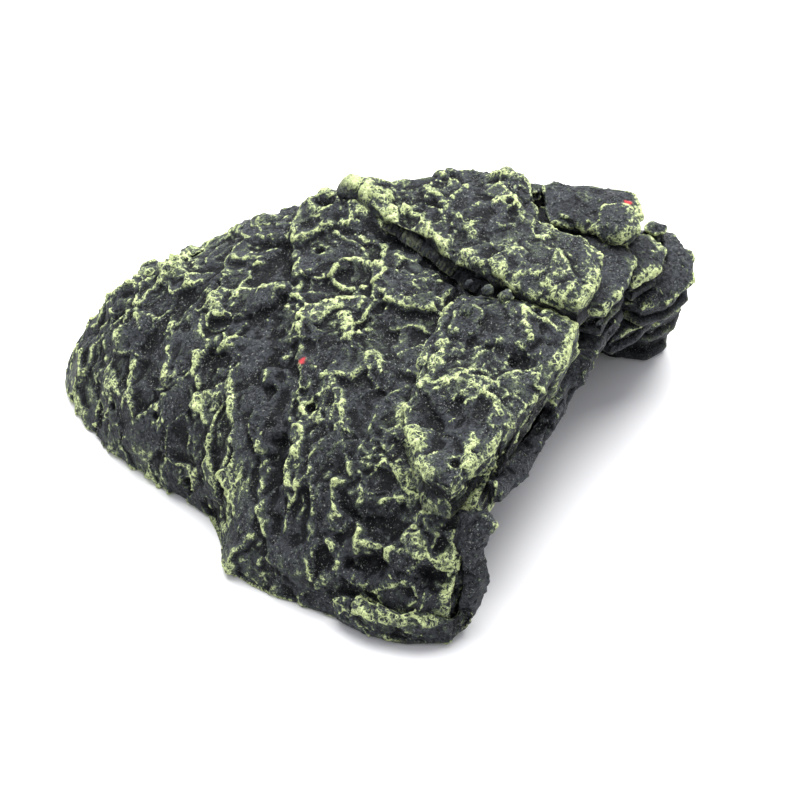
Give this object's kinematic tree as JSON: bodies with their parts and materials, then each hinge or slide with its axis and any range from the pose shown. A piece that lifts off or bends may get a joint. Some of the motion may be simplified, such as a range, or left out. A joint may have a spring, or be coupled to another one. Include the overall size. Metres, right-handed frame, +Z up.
{
  "type": "resin cave ornament",
  "caption": "Low hollow rock cave ornament in cast resin, with an arched mouth at the front, a tapering spur behind and layered rock slabs bonded round the mouth.",
  "frame": {"origin": "middle of the footprint's bounding box, on the surface the ornament stands on", "axes": "+Z up; the mouth faces -Y and the spur runs to +Y; +X is to the right of someone who looks into the mouth"},
  "size_m": [0.1344, 0.148, 0.053],
  "materials": {
    "painted_resin": "charcoal cast resin, satin-matte, dry-brushed with lime green on its raised edges"
  },
  "bodies": {
    "root": {"cave_shell": "painted_resin", "roof_slab": "painted_resin", "brow_slab": "painted_resin", "arch_ledge": "painted_resin", "jamb_ledge": "painted_resin", "foot_ledge": "painted_resin", "pillar_foot": "painted_resin", "pillar_base_plate": "painted_resin", "pillar_plate_inner": "painted_resin", "pillar_plate_lower": "painted_resin", "pillar_plate_middle": "painted_resin", "pillar_plate_upper": "painted_resin", "pillar_top_block": "painted_resin", "pillar_knobs": "painted_resin", "crest_knobs": "painted_resin", "crevice_pebbles": "painted_resin"}
  },
  "joints": []
}
